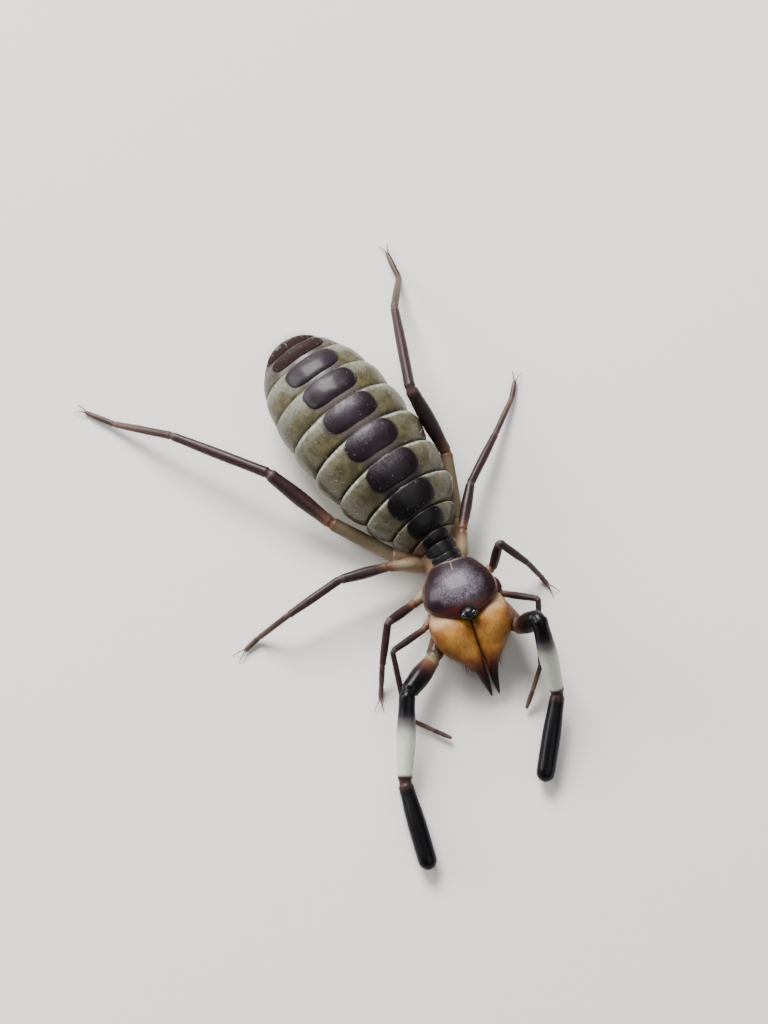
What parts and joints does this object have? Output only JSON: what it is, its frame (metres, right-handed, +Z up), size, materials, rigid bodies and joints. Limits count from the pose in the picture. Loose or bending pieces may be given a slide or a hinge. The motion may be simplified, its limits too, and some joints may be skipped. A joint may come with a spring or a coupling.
{
  "type": "camel spider",
  "caption": "Camel spider, a solifuge arachnid at life size, standing with large pincers forward, long dark and white palps held out, and a plump banded abdomen.",
  "frame": {"origin": "on the floor under the middle of the animal's bounding box, at the level of its belly and feet", "axes": "+Z up, the head points toward -Y, the animal's own left side is at +X"},
  "size_m": [0.0262, 0.0376, 0.0065],
  "materials": {
    "pleura": "satin, translucent skin of the belly and sides",
    "shield": "glossy dark horny plate",
    "waist": "satin skin with two dark plates",
    "eye": "glossy black lens",
    "chelicera": "satin amber cuticle",
    "fang": "glossy dark reddish cuticle",
    "pale_limb": "satin pale tan cuticle",
    "brown_limb": "satin dark purplish brown cuticle",
    "tibia": "satin brown cuticle",
    "foot": "satin pale brown cuticle",
    "black_limb": "matt black, velvety with short fur",
    "white_limb": "satin white cuticle, dark at its base"
  },
  "bodies": {
    "root": {"abdomen": "pleura", "thorax": "waist", "head": "shield", "eye_left": "eye", "eye_right": "eye", "chelicera_left": "chelicera", "chelicera_right": "chelicera", "movable_finger_left": "fang", "movable_finger_right": "fang", "palp_left_femur": "brown_limb", "palp_left_patella": "black_limb", "palp_left_tibia": "white_limb", "palp_left_tarsus": "black_limb", "palp_right_femur": "brown_limb", "palp_right_patella": "black_limb", "palp_right_tibia": "white_limb", "palp_right_tarsus": "black_limb", "leg1_left_femur": "pale_limb", "leg1_left_patella": "brown_limb", "leg1_left_tibia": "tibia", "leg1_left_foot": "foot", "leg1_right_femur": "pale_limb", "leg1_right_patella": "brown_limb", "leg1_right_tibia": "tibia", "leg1_right_foot": "foot", "leg2_left_femur": "pale_limb", "leg2_left_patella": "brown_limb", "leg2_left_tibia": "tibia", "leg2_left_foot": "foot", "leg2_right_femur": "pale_limb", "leg2_right_patella": "brown_limb", "leg2_right_tibia": "tibia", "leg2_right_foot": "foot", "leg3_left_femur": "pale_limb", "leg3_left_patella": "brown_limb", "leg3_left_tibia": "tibia", "leg3_left_foot": "foot", "leg3_right_femur": "pale_limb", "leg3_right_patella": "brown_limb", "leg3_right_tibia": "tibia", "leg3_right_foot": "foot", "leg4_left_femur": "pale_limb", "leg4_left_patella": "brown_limb", "leg4_left_tibia": "tibia", "leg4_left_foot": "foot", "leg4_right_femur": "pale_limb", "leg4_right_patella": "brown_limb", "leg4_right_tibia": "tibia", "leg4_right_foot": "foot"}
  },
  "joints": []
}
